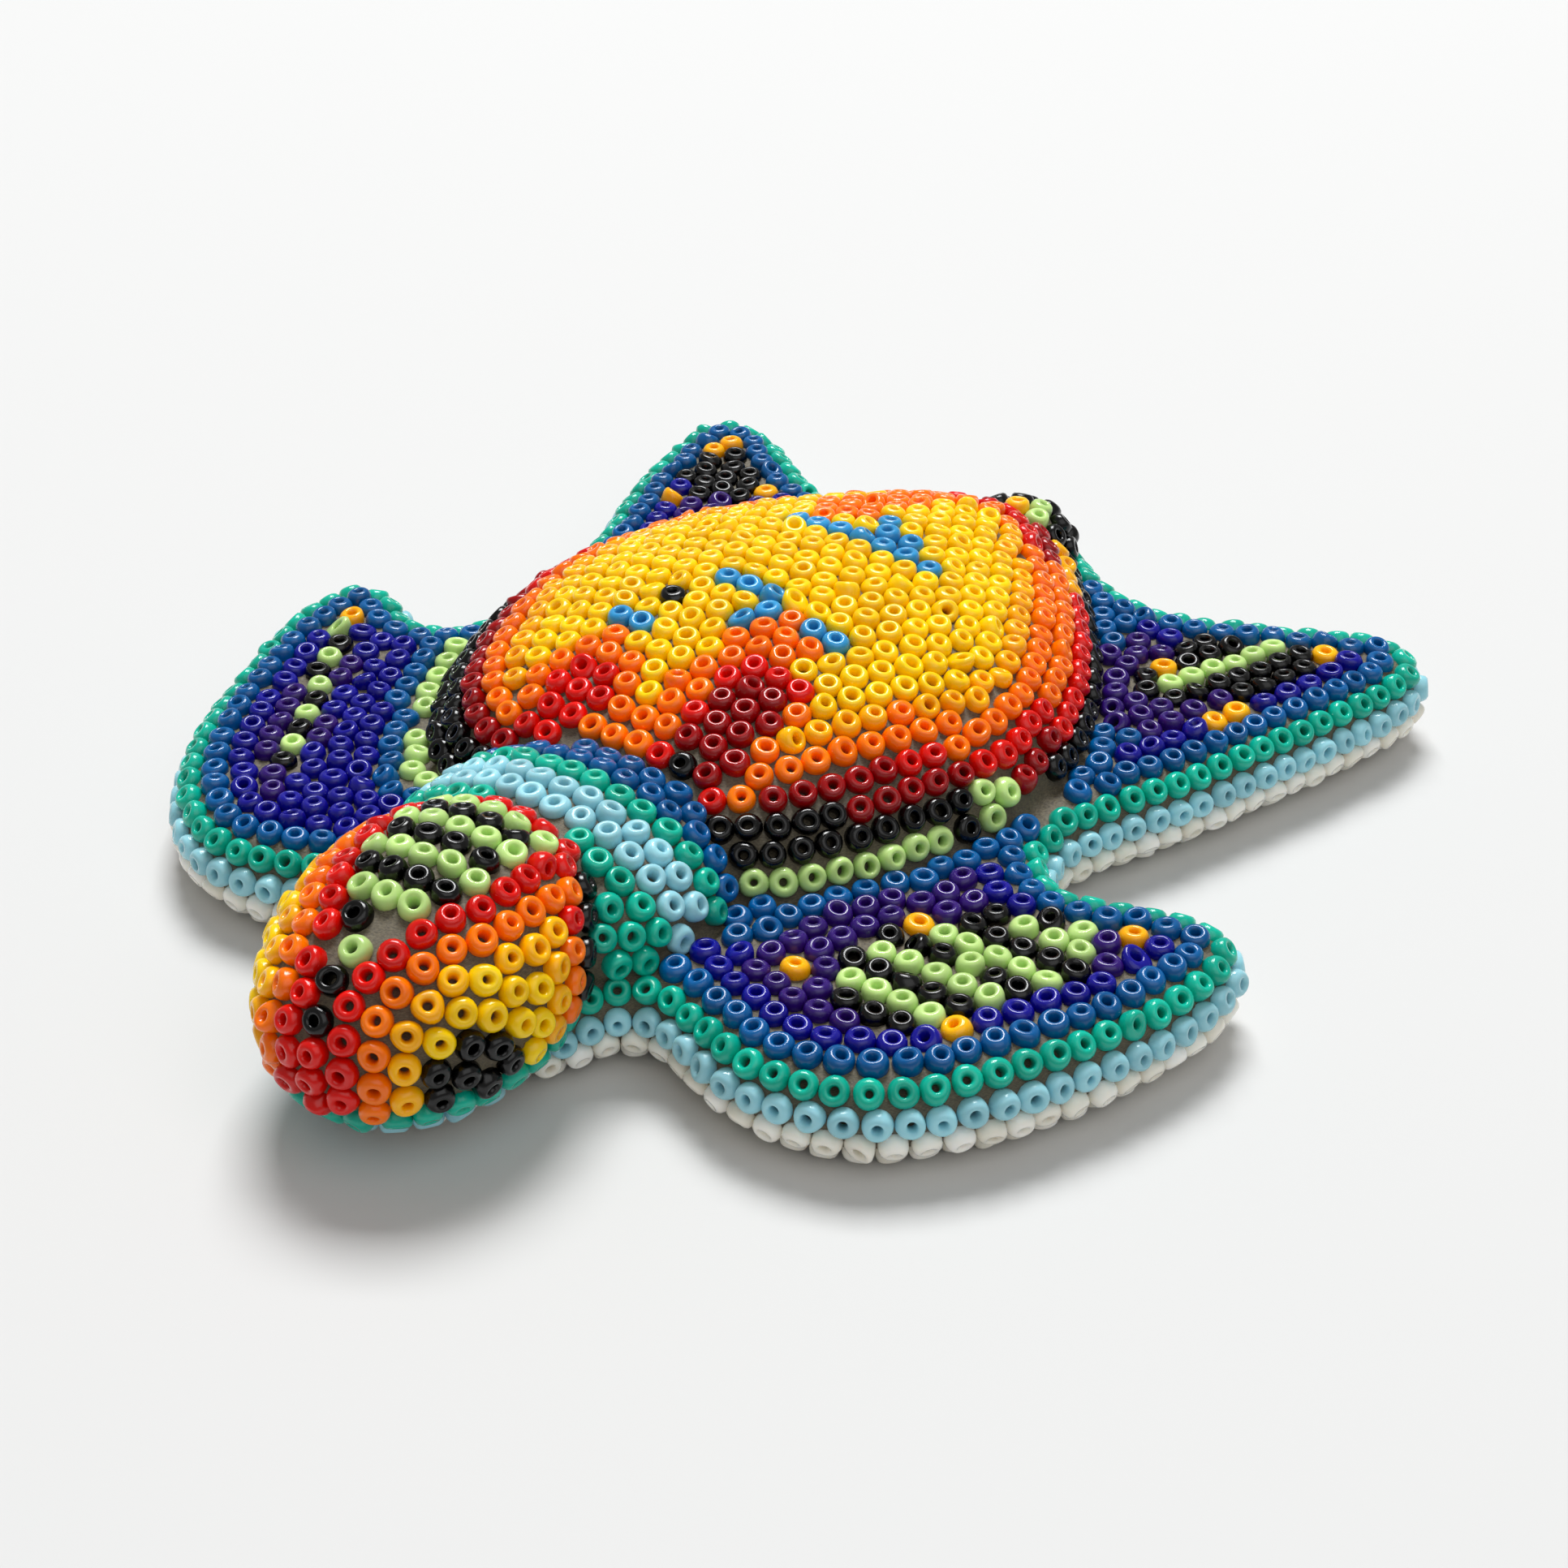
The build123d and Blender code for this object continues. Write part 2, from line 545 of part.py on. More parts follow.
def lay_shell_rings(depths):
    """Rings round the shell, following its edge."""
    for number, depth in enumerate(depths):
        ring = np.array([
            [np.interp(depth, SHELL_DEPTH[c], SHELL_GRID[c, :, a]) for a in range(3)]
            for c in range(len(SHELL_GRID))
        ])
        points, normals = shell_points(ring[:, 0], ring[:, 1])
        points, normals = spread(points, normals, np.full(len(ring), True), PITCH, number % 2 / 2)
        propose(points, normals, "shell", shell_colours(points, np.full(len(points), depth)))


def lay_shell_rows(edge_depth):
    """Straight rows across the shell inside its rings, each nested in the one before."""
    along = np.linspace(-26, 36, 1200)
    spine, _ = shell_points(np.full(1200, SHELL_CENTRE[0]), along)
    for number, stop in enumerate(walk(spine, ROW)):
        level = np.interp(stop, np.arange(1200), along)
        across = np.linspace(-25, 25, 1000) + SHELL_CENTRE[0]
        points, normals = shell_points(across, np.full(1000, level))
        inside = shell_share(points[:, 0], points[:, 1]) < SHELL_INSIDE
        points, normals = points[inside], normals[inside]
        if len(points) < 4:
            continue
        middle = np.argmin(np.abs(points[:, 0] - SHELL_CENTRE[0]))
        steps = np.linalg.norm(np.diff(points, axis=0), axis=1)
        length = np.concatenate([[0], np.cumsum(steps)])
        length -= length[middle]
        numbers = np.arange(-16, 17) + 0.5 * (number % 2)
        stops = numbers[(numbers * PITCH > length[0]) & (numbers * PITCH < length[-1])] * PITCH
        index = np.interp(stops, length, np.arange(len(points)))
        points, normals = pick(points, index), unit(pick(normals, index))
        depth = shell_depth(points)
        keep = depth > edge_depth
        propose(points[keep], normals[keep], "shell", shell_colours(points, depth)[keep])


def lay_panels():
    """Nested straight rows on the flippers' upper faces, inside the rim rows."""
    for limb, (centre, heading, _, _) in LEAVES.items():
        turn = math.radians(0.0 if limb == "left_front" else heading)
        axis = np.array([math.cos(turn), math.sin(turn)])
        side = np.array([-axis[1], axis[0]])
        grid = []
        for row in range(-12, 13):
            for stop in range(-14, 15):
                along = (stop + 0.5 * (row % 2)) * PITCH
                grid.append(np.array(centre) + along * axis + row * ROW * side)
        grid = np.array(grid)
        points = np.column_stack([grid, np.full(len(grid), TOP_Z)])
        _, _, value = leaf(points, *LEAVES[limb])
        points = points[(value < 1.12) & (plan_distance(points) > 5.0)]
        normals = np.tile([0.0, 0.0, 1.0], (len(points), 1))
        propose(points, normals, limb, panel_colours(points))


def lay_skirt():
    """One row on the plate all round the foot of the shell."""
    arms = unit(SHELL_ARMS)
    plan = SHELL_RIM + arms * FOOT_GAP
    points = np.column_stack([plan, np.full(len(plan), TOP_Z)])
    normals = np.tile([0.0, 0.0, 1.0], (len(points), 1))
    keep = plan_distance(points) > EDGE_RADIUS
    points, normals = spread(points, normals, keep, PITCH)
    propose(points, normals, limb_names(points), np.full(len(points), "blue", dtype=object))


def head_meridians(count=360, steps=200):
    """Points of the head by angle round its upright axis and surface distance from the jaw."""
    turn = np.linspace(0, 2 * math.pi, count, endpoint=False)
    climb = np.linspace(-math.pi / 2, math.pi / 2, steps)
    directions = np.stack([
        np.cos(turn)[:, None] * np.cos(climb)[None],
        np.sin(turn)[:, None] * np.cos(climb)[None],
        np.broadcast_to(np.sin(climb), (count, steps)),
    ], axis=2)
    points, normals = HEAD.surface(directions)
    pieces = np.linalg.norm(np.diff(points, axis=1), axis=2)
    travel = np.concatenate([np.zeros((count, 1)), np.cumsum(pieces, axis=1)], axis=1)
    travel -= travel[:, steps // 2][:, None]
    return points, normals, travel


HEAD_GRID, HEAD_NORMALS, HEAD_TRAVEL = head_meridians()


def head_sides(steps=160):
    """Distances to the side over the head, by degrees round its crosswise axis from the snout's
    tip, and forward over it from its top, by degrees from its underside."""
    turns = np.linspace(0, math.pi / 2, steps)
    climb = np.radians(np.arange(361))
    flat = np.hypot(HEAD_AXES[0] * np.cos(climb), HEAD_AXES[2] * np.sin(climb))
    out = HEAD_AXES[1] * np.sin(turns)
    inward = flat[:, None] * np.cos(turns)[None]
    steps_out = np.hypot(np.diff(np.broadcast_to(out, inward.shape), axis=1), np.diff(inward, axis=1))
    travel = np.concatenate([np.zeros((361, 1)), np.cumsum(steps_out, axis=1)], axis=1)
    ends = np.column_stack([HEAD_AXES[0] * np.sin(climb), -HEAD_AXES[2] * np.cos(climb)])
    length = np.concatenate([[0], np.cumsum(np.linalg.norm(np.diff(ends, axis=0), axis=1))])
    return turns, travel, length[180] - length


SIDE_TURNS, SIDE_TRAVEL, OVER_TRAVEL = head_sides()


def head_points(over, side):
    """Points and normals of the head at distances forward over it and to the side."""
    climb = (np.interp(-over, -OVER_TRAVEL, np.arange(361)) - 90) % 360
    turn = np.array([
        np.interp(abs(s), SIDE_TRAVEL[int(round(c))], SIDE_TURNS, right=9.0)
        for c, s in zip(climb, side)
    ]) * np.sign(side)
    there = np.abs(turn) < 1.5
    climb, turn = np.radians(climb[there]), turn[there]
    return HEAD.surface(np.column_stack([
        np.cos(climb) * np.cos(turn), np.sin(turn), np.sin(climb) * np.cos(turn),
    ]))


def lay_head():
    """Bands under the jaw, rows across the crown, then lines round the crown."""
    for ring in JAW_RINGS:
        travel = (ring + 0.5) * RING
        column = [np.interp(travel, t, np.arange(len(t))) for t in HEAD_TRAVEL]
        points = np.array([pick(g, np.array([c]))[0] for g, c in zip(HEAD_GRID, column)])
        normals = np.array([pick(g, np.array([c]))[0] for g, c in zip(HEAD_NORMALS, column)])
        keep = np.full(len(points), True)
        points, normals = spread(points, unit(normals), keep, PITCH, ring % 2 / 2)
        propose(points, normals, "head", head_colours(points))
    lone = np.array([bead[:2] for bead in LONE_BEADS])
    points, normals = head_points(*lone.T)
    propose(points, normals, "head", head_colours(points))
    for row in CROWN_ROWS:
        over = row * ROW + CROWN_START
        width = np.interp(over, PANEL_ALONG, PANEL_WIDTH) - 0.7
        side = (np.arange(-4, 5) + 0.5 * (row % 2)) * PITCH
        side = side[np.abs(side) < width]
        points, normals = head_points(np.full(len(side), over), side)
        propose(points, normals, "head", head_colours(points))
    over = np.linspace(17.0, -14.0, 400)
    climb = (np.interp(-over, -OVER_TRAVEL, np.arange(361)) - 90) % 360
    along = HEAD_AXES[0] * np.cos(np.radians(climb))
    for line in range(6):
        for hand in (1, -1):
            side = hand * (np.interp(along, PANEL_ALONG, PANEL_WIDTH) + (line + 0.5) * RING)
            points, normals = head_points(over, side)
            if len(points) < 2:
                continue
            stops = walk(points, PITCH, 0.5 * (line % 2))
            points, normals = pick(points, stops), unit(pick(normals, stops))
            keep = head_ring(points) > max(JAW_RINGS)
            propose(points[keep], normals[keep], "head", head_colours(points[keep]))


def lay_tail():
    """Rings round the tail's tip, counted down from its top."""
    for ring in range(4):
        climb = math.pi / 2 - ring * RING / TAIL_AXES[1]
        turn = np.linspace(0, 2 * math.pi, 240, endpoint=False)
        directions = np.column_stack([
            np.cos(turn) * math.cos(climb), np.sin(turn) * math.cos(climb),
            np.full(240, math.sin(climb)),
        ])
        points, normals = TAIL.surface(directions)
        points, normals = spread(points, normals, np.full(240, True), PITCH, 0.5 * (ring % 2))
        propose(points, normals, "tail", tail_colours(points))


def head_ring(points):
    """Ring number of points on the head, counted up from the jaw line."""
    local = HEAD.local(points) / HEAD_AXES
    turn = np.mod(np.arctan2(local[:, 1], local[:, 0]), 2 * math.pi)
    column = np.rint(turn / (2 * math.pi) * len(HEAD_GRID)).astype(int) % len(HEAD_GRID)
    climb = np.arctan2(local[:, 2], np.hypot(local[:, 0], local[:, 1]))
    index = (climb + math.pi / 2) / math.pi * (HEAD_TRAVEL.shape[1] - 1)
    travel = np.array([
        np.interp(i, np.arange(HEAD_TRAVEL.shape[1]), HEAD_TRAVEL[c])
        for c, i in zip(column, index)
    ])
    return np.floor(travel / RING).astype(int)


def neck_ring(ring):
    """Points and normals round the neck, by ring number forward from its middle."""
    lean = math.sin(ring * RING / NECK_AXES[0])
    width = math.sqrt(1 - lean ** 2)
    turn = np.linspace(0, 2 * math.pi, 300, endpoint=False)
    return NECK.surface(np.column_stack([
        np.full(300, lean), width * np.sin(turn), width * np.cos(turn),
    ]))


def neck_colours(points, ring):
    """Colours of one ring of the neck, white underneath."""
    colour = NECK_COLOURS.get(ring, "blue" if ring < 0 else "teal")
    colours = np.full(len(points), colour, dtype=object)
    colours[points[:, 2] < NECK_WHITE] = "white"
    return colours


def lay_neck():
    """Rings round the neck, counted forward from its middle."""
    for ring in range(-4, 4):
        points, normals = neck_ring(ring)
        points, normals = spread(points, normals, np.full(300, True), PITCH, ring % 2 / 2)
        propose(points, normals, "collar", neck_colours(points, ring))


BODIES = {
    "plate": plate_excess,
    "shell": shell_excess,
    "head": HEAD.excess,
    "collar": NECK.excess,
    "tail": TAIL.excess,
}
HOME = {name: name for name in ("shell", "head", "collar", "tail")}


def clear_of_others(points, regions):
    """Which beads do not lie inside another body's wax."""
    clear = np.full(len(points), True)
    homes = np.array([HOME.get(r, "plate") for r in regions])
    for name, excess in BODIES.items():
        other = homes != name
        clear[other] &= excess(points[other]) > WAX_CLEARANCE
    return clear


def press_in(queue, spacing, taken):
    """Beads of the queue, in order, that find room beside those taken and each other."""
    points, normals = (np.vstack([c[part] for c in queue]) for part in (0, 1))
    regions, colours = (np.concatenate([c[part] for c in queue]) for part in (2, 3))
    room = clear_of_others(points, regions)
    for first in range(0, len(points), BATCH):
        part = slice(first, first + BATCH)
        gap = np.linalg.norm(points[part][:, None] - taken[None], axis=2)
        room[part] &= gap.min(axis=1, initial=99.0) >= spacing
    order = np.flatnonzero(room)
    chosen = []
    fresh = np.empty((len(order), 3))
    for number in order:
        gap = fresh[:len(chosen)] - points[number]
        if len(chosen) == 0 or (gap ** 2).sum(axis=1).min() >= spacing ** 2:
            fresh[len(chosen)] = points[number]
            chosen.append(number)
    return points[chosen], normals[chosen], regions[chosen], colours[chosen]


def cover():
    """Close samples over all of the wax that could carry a bead, with the area each stands for."""
    areas = []
    for travel in np.arange(*PLATE_TRAVEL, COVER_STEP):
        points, normals, keep = plate_row(travel)
        gap = np.linalg.norm(np.roll(points, -1, axis=0) - points, axis=1)
        points, normals = points[keep], normals[keep]
        areas.append(gap[keep] * COVER_STEP)
        row = round((travel - RIM_SHIFT) / RIM_ROW)
        if row < -2:
            colours = np.full(len(points), BELLY_COLOURS[(-row - 3) % 4], dtype=object)
            propose(points, normals, "underside", colours)
        elif row < 3:
            colours = np.full(len(points), RIM_COLOURS[row], dtype=object)
            propose(points, normals, "rim", colours)
        elif len(points):
            propose(points, normals, limb_names(points), panel_colours(points))
    x, y = np.meshgrid(*(np.arange(*span, COVER_STEP) for span in SHELL_SPAN))
    x, y = x.ravel(), y.ravel()
    inside = shell_share(x, y) < 0.975
    points, normals = shell_points(x[inside], y[inside])
    areas.append(COVER_STEP ** 2 / normals[:, 2])
    propose(points, normals, "shell", shell_colours(points, shell_depth(points)))
    points, normals = HEAD_GRID[:, 2::3], HEAD_NORMALS[:, 2::3]
    around = np.linalg.norm(np.roll(points, -1, axis=0) - points, axis=2)
    up = np.linalg.norm(np.gradient(points, axis=1), axis=2)
    areas.append((around * up).ravel())
    points, normals = points.reshape(-1, 3), normals.reshape(-1, 3)
    propose(points, normals, "head", head_colours(points))
    turn = np.linspace(0, 2 * math.pi, TAIL_SAMPLES[0], endpoint=False)
    climb = np.linspace(0, math.pi / 2, TAIL_SAMPLES[1])
    turn, climb = (grid.ravel() for grid in np.meshgrid(turn, climb))
    points, normals = TAIL.surface(np.column_stack([
        np.cos(turn) * np.cos(climb), np.sin(turn) * np.cos(climb), np.sin(climb),
    ]))
    patch = TAIL.axes[:2].prod() * math.pi ** 2 / math.prod(TAIL_SAMPLES)
    areas.append(patch * np.maximum(np.cos(climb), 0.05))
    propose(points, normals, "tail", tail_colours(points))
    for ring in np.arange(-4, 4, 0.2):
        points, normals = neck_ring(ring)
        gap = np.linalg.norm(np.roll(points, -1, axis=0) - points, axis=1)
        areas.append(gap * 0.2 * RING)
        propose(points, normals, "collar", neck_colours(points, round(ring)))
    return np.concatenate(areas)


def buckets(points):
    """Point numbers by the cell of a coarse grid they fall in."""
    cells = np.floor(points / CELL).astype(int)
    order = np.lexsort(cells.T)
    sorted_cells = cells[order]
    edges = np.flatnonzero(np.any(np.diff(sorted_cells, axis=0) != 0, axis=1)) + 1
    groups = np.split(order, edges)
    return {tuple(cells[group[0]].tolist()): group for group in groups}


def around(table, cell):
    """Point numbers in a cell and those next to it."""
    found = [
        table[(cell[0] + i, cell[1] + j, cell[2] + k)]
        for i in (-1, 0, 1) for j in (-1, 0, 1) for k in (-1, 0, 1)
        if (cell[0] + i, cell[1] + j, cell[2] + k) in table
    ]
    return np.concatenate(found) if found else np.zeros(0, int)


def settle(points, normals, samples, facing, areas, rounds):
    """Ease beads towards the middle of the bare area about each, so that gaps close evenly."""
    sample_table = buckets(samples)
    for _ in range(rounds):
        table = buckets(points)
        pull = np.zeros_like(points)
        lean = np.zeros_like(points)
        weight = np.zeros(len(points))
        for cell, members in sample_table.items():
            close = around(table, cell)
            if len(close) == 0:
                continue
            gap = np.linalg.norm(samples[members][:, None] - points[close][None], axis=2)
            owner = close[gap.argmin(axis=1)]
            near_enough = gap.min(axis=1) < DOMAIN
            owner, own = owner[near_enough], members[near_enough]
            np.add.at(pull, owner, samples[own] * areas[own][:, None])
            np.add.at(lean, owner, facing[own] * areas[own][:, None])
            np.add.at(weight, owner, areas[own])
        some = weight > 0
        target = points.copy()
        target[some] = pull[some] / weight[some][:, None]
        normals = np.where(some[:, None], unit(lean + normals * 1e-6), normals)
        shift = (target - points) * EASE
        shift -= (shift * normals).sum(axis=1)[:, None] * normals
        points = points + shift
        points, normals = lay_down(points, normals, samples, facing, sample_table)
    return points, normals


def lay_down(points, normals, samples, facing, sample_table):
    """Put points back on the surface that the samples describe."""
    points, normals = points.copy(), normals.copy()
    for cell, members in buckets(points).items():
        close = around(sample_table, cell)
        if len(close) == 0:
            continue
        gap = np.linalg.norm(points[members][:, None] - samples[close][None], axis=2)
        order = np.argsort(gap, axis=1)[:, :6]
        nearest = close[order]
        share = 1 / (np.take_along_axis(gap, order, axis=1) + 0.05) ** 2
        share /= share.sum(axis=1, keepdims=True)
        away = ((points[members][:, None] - samples[nearest]) * facing[nearest]).sum(axis=2)
        out = unit((facing[nearest] * share[:, :, None]).sum(axis=1))
        points[members] -= (away * share).sum(axis=1)[:, None] * out
        normals[members] = out
    return points, normals


def part_company(points, normals, spacing):
    """Push beads apart that would touch."""
    for _ in range(PUSH_ROUNDS):
        shift = np.zeros_like(points)
        table = buckets(points)
        crowded = 0
        for cell, members in table.items():
            close = around(table, cell)
            apart = points[members][:, None] - points[close][None]
            gap = np.linalg.norm(apart, axis=2)
            tight = (gap < spacing) & (gap > 0)
            crowded += tight.sum()
            push = np.where(tight, (spacing - gap) / 2 / np.maximum(gap, 1e-6), 0)
            shift[members] += (apart * push[:, :, None]).sum(axis=1)
        if crowded == 0:
            break
        shift -= (shift * normals).sum(axis=1)[:, None] * normals
        points = points + PUSH * shift
    return points


def recolour(points, regions, colours):
    """Colours of the beads where they have come to lie."""
    colours = colours.astype(object)
    rules = {
        "shell": lambda p: shell_colours(p, shell_depth(p)),
        "head": head_colours,
        "tail": tail_colours,
    }
    rules.update({limb: panel_colours for limb in LEAVES})
    for region, rule in rules.items():
        here = regions == region
        colours[here] = rule(points[here])
    marks = [("shell", MOTIF_BEADS, "steel"), ("shell", BLACK_BEADS, "black")]
    marks += [(limb, dots, "amber") for limb, dots in YELLOW_DOTS.items()]
    for region, spots, colour in marks:
        here = np.flatnonzero(regions == region)
        for spot in spots:
            gap = np.linalg.norm(points[here, :2] - np.array(spot), axis=1)
            colours[here[gap.argmin()]] = colour
    return colours


lay_rim((0, 1, 2, -1, -2))
lay_tail()
lay_shell_rings([FOOT_GAP + RING * ring for ring in range(SHELL_RINGS)])
lay_panels()
lay_head()
lay_neck()
lay_skirt()
lay_rim((3, 4, 5))
lay_shell_rows(FOOT_GAP + (SHELL_RINGS - 0.1) * RING)
lay_rim((6, *range(-3, -16, -1)))
POINTS, NORMALS, REGIONS, COLOURS = press_in(candidates, SPACING * CROWDING, np.zeros((0, 3)))
candidates.clear()
AREAS = cover()
SAMPLES, FACING = (np.vstack([c[part] for c in candidates]) for part in (0, 1))
SAMPLE_REGIONS = np.concatenate([c[2] for c in candidates])
FREE = clear_of_others(SAMPLES, SAMPLE_REGIONS)
ON_HEAD = np.flatnonzero(SAMPLE_REGIONS == "head")
OVER, SIDE, _ = head_place(SAMPLES[ON_HEAD])
for ahead, aside in BARE_SPOTS:
    bare = np.hypot(OVER - ahead, SIDE - aside) < BARE_RADIUS
    FREE[ON_HEAD[bare & (HEAD.local(SAMPLES[ON_HEAD])[:, 2] > 0)]] = False
candidates[:] = [(SAMPLES[FREE], FACING[FREE]) + tuple(
    np.concatenate([c[part] for c in candidates])[FREE] for part in (2, 3)
)]
for squeeze, rounds in PASSES:
    fresh = press_in(candidates, SPACING * squeeze, POINTS)
    POINTS, NORMALS, REGIONS, COLOURS = (
        np.concatenate(pair) for pair in zip((POINTS, NORMALS, REGIONS, COLOURS), fresh)
    )
    POINTS, NORMALS = settle(
        POINTS, NORMALS, SAMPLES[FREE], FACING[FREE], AREAS[FREE], rounds
    )
    POINTS = part_company(POINTS, NORMALS, SPACING + SLACK)
POINTS, NORMALS, REGIONS, COLOURS = press_in(
    [(POINTS, NORMALS, REGIONS, COLOURS)], SPACING - SLACK / 2, np.zeros((0, 3))
)
COLOURS = recolour(POINTS, REGIONS, COLOURS)


# ---- resting beads: the one under each flipper that touches the ground ----
RESTING_SPOTS = [(-31, -31), (31, -29), (31, 34), (-32, 34)]
RESTING_DROP = FLOOR_LIFT - BEAD_LIFT - BEAD_LENGTH / 2


def choose_resting():
    """The white underside bead nearest each spot, set down to the ground."""
    white = np.flatnonzero((REGIONS == "underside") & (COLOURS == "white"))
    for spot in RESTING_SPOTS:
        gap = np.linalg.norm(POINTS[white, :2] - np.array(spot), axis=1)
        number = white[gap.argmin()]
        REGIONS[number] = "resting"
        POINTS[number, 2] -= RESTING_DROP


REGIONS = REGIONS.astype(object)
REGIONS[(REGIONS == "collar") & (COLOURS == "white")] = "underside"
choose_resting()

# The figure's middle in plan becomes the origin.
MIDDLE = (POINTS.min(axis=0) + POINTS.max(axis=0)) / 2
MIDDLE[2] = 0.0
POINTS -= MIDDLE

NODE_NAMES = {
    "rim": "edge_{}_beads",
    "underside": "underside_{}_beads",
    "shell": "shell_{}_beads",
    "head": "head_{}_beads",
    "collar": "neck_{}_beads",
    "tail": "tail_{}_beads",
    "left_front": "left_front_flipper_{}_beads",
    "left_rear": "left_rear_flipper_{}_beads",
    "right_front": "right_front_flipper_{}_beads",
    "right_rear": "right_rear_flipper_{}_beads",
    "resting": "resting_{}_beads",
}


# ---- solids ----
def egg_shape(egg, shrink):
    """One ellipsoid of the carving."""
    forward, _, up = (Vector(*column) for column in egg.frame.T)
    with BuildPart() as ball:
        Sphere(radius=1)
        scale(by=tuple(float(a - shrink) for a in egg.axes))
    return Plane(origin=Vector(*egg.centre), x_dir=forward, z_dir=up).location * ball.part


def carving(shrink):
    """The whole turtle without beads, drawn in from the wax surface by a distance."""
    height = SHELL_HEIGHT - shrink
    reach = 1 - shrink / SHELL_REACH.mean()
    with BuildPart() as body:
        for level in EDGE_LEVELS:
            climb = math.radians(level)
            inset = EDGE_RADIUS - (EDGE_RADIUS - shrink) * math.cos(climb)
            ring = (RIM + RIM_INWARD * inset)[::OUTLINE_STEP]
            level_z = MID_Z + (EDGE_RADIUS - shrink) * math.sin(climb)
            with BuildSketch(Plane.XY.offset(level_z)):
                with BuildLine():
                    Spline(*[tuple(float(v) for v in point) for point in ring], periodic=True)
                make_face()
        loft()
    cx, cy = SHELL_CENTRE
    with BuildPart() as dome:
        for level in SHELL_LEVELS:
            climb = math.radians(level)
            size = reach * math.cos(climb)
            with BuildSketch(Plane.XY.offset(SHELL_BASE_Z + height * math.sin(climb))):
                with BuildLine():
                    Spline(
                        *[(cx + (x - cx) * size, cy + (y - cy) * size) for x, y in SHELL_OUTLINE],
                        periodic=True,
                    )
                make_face()
        loft()
    with BuildPart() as whole:
        add(body.part)
        add(dome.part)
        for egg in (HEAD, NECK, TAIL):
            add(egg_shape(egg, shrink))
    return Location(tuple(-MIDDLE)) * whole.part


with BuildPart() as wooden_core:
    add(carving(WAX_THICKNESS))
wooden_core.part.label = "wooden_core"
export_step(wooden_core.part, "parts/wooden_core.step")

with BuildPart() as wax_coat:
    add(carving(0.0))
    add(wooden_core.part, mode=Mode.SUBTRACT)
wax_coat.part.label = "wax_coat"
export_step(wax_coat.part, "parts/wax_coat.step")

with BuildPart() as seed_bead:
    with BuildSketch(Plane.XZ):
        with BuildLine():
            Polyline(
                (BEAD_HOLE / 2, -BEAD_LENGTH / 2),
                (BEAD_HOLE / 2, BEAD_LENGTH / 2),
                BEAD_SHOULDER,
                (BEAD_OD / 2, 0),
                (BEAD_SHOULDER[0], -BEAD_SHOULDER[1]),
                close=True,
            )
        make_face()
    revolve(axis=Axis.Z)

for region, colour in sorted(set(zip(REGIONS, COLOURS))):
    members = np.flatnonzero((REGIONS == region) & (COLOURS == colour))
    name = NODE_NAMES[region].format(colour)
    with BuildPart() as group:
        with Locations(*[
            Plane(origin=Vector(*POINTS[n]), z_dir=Vector(*NORMALS[n])).location for n in members
        ]):
            add(seed_bead.part)
    group.part.label = name
    export_step(group.part, f"parts/{name}.step")
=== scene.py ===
import json
import math

import bmesh
import bpy
import numpy as np
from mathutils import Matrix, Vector
from mathutils.kdtree import KDTree


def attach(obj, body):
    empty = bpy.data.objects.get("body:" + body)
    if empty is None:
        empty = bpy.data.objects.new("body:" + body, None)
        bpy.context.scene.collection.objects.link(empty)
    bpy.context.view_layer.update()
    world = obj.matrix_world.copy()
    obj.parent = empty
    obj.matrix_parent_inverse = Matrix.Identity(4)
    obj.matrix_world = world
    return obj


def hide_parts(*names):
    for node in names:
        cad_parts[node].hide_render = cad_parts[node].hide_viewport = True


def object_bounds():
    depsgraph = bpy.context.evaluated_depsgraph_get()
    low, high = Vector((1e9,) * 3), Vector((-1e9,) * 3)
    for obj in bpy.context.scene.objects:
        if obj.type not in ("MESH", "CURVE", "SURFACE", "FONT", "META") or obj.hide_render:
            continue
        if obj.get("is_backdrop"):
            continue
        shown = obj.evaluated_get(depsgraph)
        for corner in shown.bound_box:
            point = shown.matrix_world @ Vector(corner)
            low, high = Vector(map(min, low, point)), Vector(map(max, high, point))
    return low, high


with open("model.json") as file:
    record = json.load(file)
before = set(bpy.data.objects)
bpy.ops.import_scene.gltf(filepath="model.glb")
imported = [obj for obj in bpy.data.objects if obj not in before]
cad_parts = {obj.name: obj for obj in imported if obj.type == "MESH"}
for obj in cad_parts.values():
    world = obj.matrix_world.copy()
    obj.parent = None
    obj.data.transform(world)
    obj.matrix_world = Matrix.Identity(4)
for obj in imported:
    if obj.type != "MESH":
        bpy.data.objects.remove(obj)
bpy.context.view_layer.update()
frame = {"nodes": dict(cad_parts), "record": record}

MM = 0.001
SAME_PLACE = 1e-7           # metres; vertices about this near each other are one
RNG = np.random.default_rng(7)
SLOTS = {part["node"]: part["material_slot"] for part in frame["record"]["subparts"]}
NODES = frame["nodes"]

